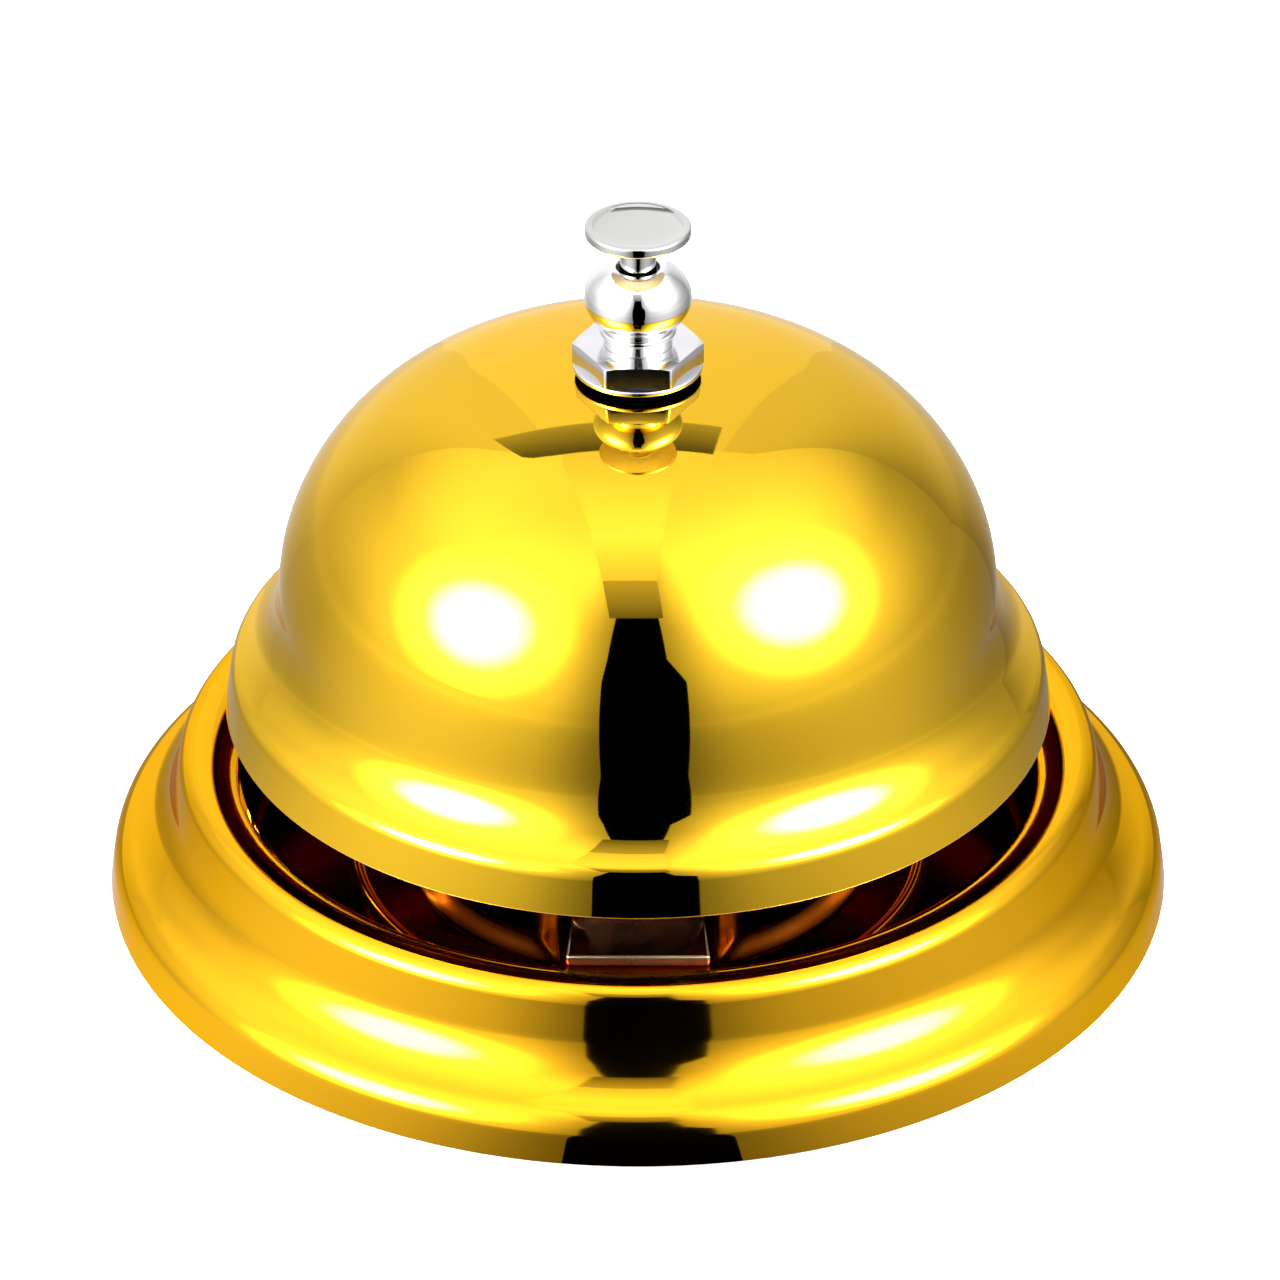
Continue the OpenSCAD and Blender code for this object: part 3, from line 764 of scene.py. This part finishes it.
REPLACED = {
    "bell_dome", "base_skirt", "floor_plate", "floor_bar", "flanged_nut", "ball_collar", "button_head",
    "return_spring", "rubber_feet",
}
CAD_WELD_GAP = 1e-6
BROKEN_EDGE = 0.07
BROKEN_EDGE_TURN = 40


def carried_over():
    """The other nodes keep their CAD solids, with their edges broken and the finish of their slot."""
    slots = {s["node"]: s["material_slot"] for s in frame["record"]["subparts"]}
    for name, obj in frame["nodes"].items():
        if name in REPLACED:
            continue
        for material_slot in obj.material_slots:
            material_slot.material = LOOKS[slots[name]]
        weld = obj.modifiers.new("weld", "WELD")
        weld.merge_threshold = CAD_WELD_GAP
        bevel = obj.modifiers.new("broken_edges", "BEVEL")
        bevel.width = BROKEN_EDGE * MM
        bevel.segments = 2
        bevel.limit_method = "ANGLE"
        bevel.angle_limit = math.radians(BROKEN_EDGE_TURN)


# ---- studio ------------------------------------------------------------------------------------
# The bell stands in a light tent. Each half of the tent has a lamp behind it. The tent is dark at the front,
# where the camera is, and its back rim frames a pale backdrop. A bright gap runs over the top between the
# halves. Levels are brightnesses, and the ranges are where each part of the tent fades in.

def toward(azimuth, elevation):
    """The direction of a place seen from the bell: azimuth 0 is the front, positive to the right."""
    a, e = math.radians(azimuth), math.radians(elevation)
    return (math.sin(a) * math.cos(e), -math.cos(a) * math.cos(e), math.sin(e))


def within(degrees):
    """The cosine of an angle from a lamp's middle."""
    return math.cos(math.radians(degrees))


LAMPS = (toward(-58, 29), toward(62, 37))
TENT_LEVEL, TENT_LEAN = 0.5, 0.1
LAMP_LEVEL, LAMP_POWER = 1.9, 4
HALO_LEVEL, HALO_RANGE = 2.2, (within(34), within(14))
CORE_LEVEL, CORE_RANGE = 60, (within(20), within(6))
TOP_AIM, TOP_LEVEL, TOP_RANGE = toward(180, 80), 0.95, (0.5, 0.95)
BACK_LEFT_AIM, BACK_LEFT_LEVEL, BACK_LEFT_RANGE = toward(-140, 30), 0.3, (0.7, 0.97)
OPENING_LEVEL, OPENING_RANGE = 0.3, (0.04, 0.5)
BEHIND_RANGE = (-0.05, 0.05)
TENT_RIM = 0.65
BACKDROP_LEVELS, BACKDROP_RANGE = (0.55, 1.1), (0.6, 0.97)
BACKDROP_LEAN = 0.3
BACK_MIDDLE, BACK_MIDDLE_LEVEL = 0.22, 0.15


def tent_light(w, aim):
    """Brightness of the tent in a direction, its lamps' hot middles left out."""
    parts = w.split(aim)
    level = w.math("MULTIPLY_ADD", parts["X"], -TENT_LEAN, TENT_LEVEL)
    for lamp in LAMPS:
        near = w.math("MAXIMUM", w.vector("DOT_PRODUCT", aim, lamp), 0)
        level = w.math("MULTIPLY_ADD", w.math("POWER", near, LAMP_POWER), LAMP_LEVEL, level)
    over = w.ramp(w.vector("DOT_PRODUCT", aim, TOP_AIM), *TOP_RANGE, 0, TOP_LEVEL)
    level = w.math("ADD", level, over)
    back_left = w.ramp(w.vector("DOT_PRODUCT", aim, BACK_LEFT_AIM), *BACK_LEFT_RANGE, 0, BACK_LEFT_LEVEL)
    level = w.math("ADD", level, back_left)

    flat = w.split(w.vector("NORMALIZE", w.vector("MULTIPLY", aim, (1, 1, 0))))
    aside = w.math("ABSOLUTE", flat["X"])
    opening = w.ramp(aside, *OPENING_RANGE, OPENING_LEVEL)
    behind = w.ramp(parts["Y"], *BEHIND_RANGE)
    level = w.math("MULTIPLY", level, w.math("MAXIMUM", opening, behind))

    backdrop = w.ramp(flat["Y"], *BACKDROP_RANGE, *BACKDROP_LEVELS)
    backdrop = w.math("MULTIPLY_ADD", flat["X"], -BACKDROP_LEAN, backdrop)
    middle = w.math("LESS_THAN", aside, BACK_MIDDLE)
    backdrop = w.math("MULTIPLY_ADD", middle, BACK_MIDDLE_LEVEL, backdrop)
    past_rim = w.math("GREATER_THAN", parts["Y"], TENT_RIM)
    change = w.math("SUBTRACT", backdrop, level)
    return w.math("MULTIPLY_ADD", past_rim, change, level)


def tent():
    """The tent as the world's light, with a halo and a hot middle at each lamp."""
    world = bpy.data.worlds.new("tent")
    bpy.context.scene.world = world
    world.use_nodes = True
    w = Wires(world.node_tree)
    aim = w.node("TexCoord").outputs["Generated"]
    level = tent_light(w, aim)
    for lamp in LAMPS:
        near = w.vector("DOT_PRODUCT", aim, lamp)
        level = w.math("ADD", level, w.ramp(near, *HALO_RANGE, 0, HALO_LEVEL))
        level = w.math("ADD", level, w.ramp(near, *CORE_RANGE, 0, CORE_LEVEL))
    w.fill(world.node_tree.nodes["Background"], {"Color": (1, 1, 1, 1), "Strength": level})


def sheet_of(name, corners, material, seen=False):
    """A flat sheet of the studio. Unless it is seen, only mirrors show it.

    Its attribute, share, is 0 at its first two corners and 1 at the others.
    """
    mesh = bpy.data.meshes.new(name)
    mesh.from_pydata(corners, [], [tuple(range(len(corners)))])
    mesh.materials.append(material)
    share = mesh.attributes.new("share", "FLOAT", "POINT")
    for i, value in enumerate(share.data):
        value.value = 0.0 if i < 2 else 1.0
    obj = bpy.data.objects.new(name, mesh)
    bpy.context.scene.collection.objects.link(obj)
    obj.visible_camera = seen
    obj.visible_shadow = seen
    obj.visible_diffuse = seen


def light_of(name, level_from):
    """A material that only gives light, of the level that level_from wires up."""
    material = bpy.data.materials.new(name)
    material.use_nodes = True
    material.node_tree.nodes.clear()
    w = Wires(material.node_tree)
    light = w.node("Emission")
    w.put(level_from(w), light.inputs["Strength"])
    w.put(light.outputs["Emission"], w.node("OutputMaterial").inputs["Surface"])
    return material


def glow(name, near, far):
    """Light that goes from near at a sheet's first edge to far at the edge across from it."""
    def level(w):
        share = w.node("Attribute", attribute_name="share").outputs["Fac"]
        return w.ramp(share, 0, 1, near, far, "LINEAR")
    return light_of(name, level)


FLOOR_HALF = 4
FLOOR_WHITE, FLOOR_ROUGH, FLOOR_GLOW = 0.9, 0.9, 0.5
MIRROR_FLOOR_Z = 0.0002
# Painted shadow: the floor that mirrors see darkens to about two thirds of its light near the bell.
MIRROR_FLOOR_SHADOW_RANGE, MIRROR_FLOOR_SHADOW_LEVELS = (0.05, 0.4), (0.68, 1)


def ground():
    """A white floor, and over it a copy that only mirrors see, with the tent's light and dark sides and a
    painted shadow near the bell.
    """
    white = bpy.data.materials.new("floor")
    white.use_nodes = True
    shader = white.node_tree.nodes["Principled BSDF"]
    shader.inputs["Base Color"].default_value = (FLOOR_WHITE, FLOOR_WHITE, FLOOR_WHITE, 1)
    shader.inputs["Roughness"].default_value = FLOOR_ROUGH
    shader.inputs["Emission Color"].default_value = (1, 1, 1, 1)
    shader.inputs["Emission Strength"].default_value = FLOOR_GLOW

    def square(z):
        corners = ((-1, -1), (1, -1), (1, 1), (-1, 1))
        return [(x * FLOOR_HALF, y * FLOOR_HALF, z) for x, y in corners]

    def mirrored(w):
        place = w.node("TexCoord").outputs["Object"]
        aim = w.vector("NORMALIZE", w.vector("MULTIPLY", place, (1, 1, 0)))
        # Painted shadow: darker near the bell.
        far = w.ramp(w.vector("LENGTH", place), *MIRROR_FLOOR_SHADOW_RANGE, *MIRROR_FLOOR_SHADOW_LEVELS, "LINEAR")
        return w.math("MULTIPLY", tent_light(w, aim), far)

    sheet_of("floor", square(0), white, seen=True)
    sheet_of("mirror_floor", square(MIRROR_FLOOR_Z), light_of("mirror_floor", mirrored))


# The stand's outline, across and up, and its foot on the floor towards the bell. The outline is in shares
# of its distance.
STAND_Y = -0.62
STAND_RIGHT = [(0.27, 0), (0.27, 0.38), (0.17, 0.6), (0.15, 1.15)]
STAND_LEFT = [(-0.16, 1.15), (-0.18, 0.6), (-0.2, 0.38), (-0.2, 0)]
STAND_FLOOR_Y, STAND_FLOOR_Z = -0.038, 0.0004
STAND_TIP_LEFT, STAND_TIP_RIGHT = -0.005, 0.007

# Lines across the tent over the bell: distance back, left end, right end and height. The first three are in
# shares of the height.
OVERHEAD = 0.8
GAP_ENDS = (-0.17, 0.09)
CLOTH_FRONT = (-0.87, -0.18, 0.16, 0.75)
GAP_FRONT = (-0.445, *GAP_ENDS, OVERHEAD)
GAP_MIDDLE = (-0.05, *GAP_ENDS, OVERHEAD)
GAP_BACK = (0.78, *GAP_ENDS, OVERHEAD)
BOOM_FRONT = (0.78, -0.28, 0.17, OVERHEAD)
BOOM_BACK = (1.0, -0.36, 0.2, OVERHEAD)
CLOTH_LEVELS = (0.2, 0.75)
GAP_END_LEVEL, GAP_MIDDLE_LEVEL = 1.3, 2.1
BOOM_LEVELS = (0.12, 0.6)


def overhead(name, front, back, material):
    """A sheet between two of the lines across the tent."""
    def ends(reach, left, right, height):
        return [(across * height, reach * height, height) for across in (left, right)]
    sheet_of(name, ends(*front) + ends(*back)[::-1], material)


def cards():
    """The camera and its stand, black, the grey cloth over them, the gap in the tent and a boom behind."""
    size = -STAND_Y
    stand = [(x * size, STAND_Y, z * size) for x, z in STAND_RIGHT + STAND_LEFT]
    black = light_of("black", lambda w: 0.0)
    sheet_of("stand", stand, black)
    sheet_of("stand_on_floor", [
        (STAND_TIP_LEFT, STAND_FLOOR_Y, STAND_FLOOR_Z), (STAND_LEFT[-1][0] * size, STAND_Y, STAND_FLOOR_Z),
        (STAND_RIGHT[0][0] * size, STAND_Y, STAND_FLOOR_Z), (STAND_TIP_RIGHT, STAND_FLOOR_Y, STAND_FLOOR_Z),
    ], black)
    overhead("grey_cloth", CLOTH_FRONT, GAP_FRONT, glow("grey", *CLOTH_LEVELS))
    overhead("gap_front", GAP_FRONT, GAP_MIDDLE, glow("gap_rising", GAP_END_LEVEL, GAP_MIDDLE_LEVEL))
    overhead("gap", GAP_MIDDLE, GAP_BACK, glow("gap_light", GAP_MIDDLE_LEVEL, GAP_END_LEVEL))
    overhead("boom", BOOM_FRONT, BOOM_BACK, glow("boom_dark", *BOOM_LEVELS))


CAMERA_LENS, CAMERA_SHIFT_X = 206.8, 0.0016
CAMERA_PLACE = (0, -0.499, 0.3239)
CAMERA_TILT = 58.79


def camera():
    """The photograph's view: from the front and above, with a long lens."""
    data = bpy.data.cameras.new("camera")
    data.sensor_width = 36
    data.lens = CAMERA_LENS
    data.shift_x = CAMERA_SHIFT_X
    obj = bpy.data.objects.new("camera", data)
    bpy.context.scene.collection.objects.link(obj)
    obj.location = CAMERA_PLACE
    obj.rotation_euler = (math.radians(CAMERA_TILT), 0, 0)
    bpy.context.scene.camera = obj


camera()
bell_shell()
skirt_shell()
floor_pressing()
floor_bar()
nut()
ball()
button()
spring()
feet()
carried_over()
tent()
ground()
cards()
bpy.context.scene.view_settings.view_transform = "Standard"
bpy.context.scene.cycles.glossy_bounces = 12
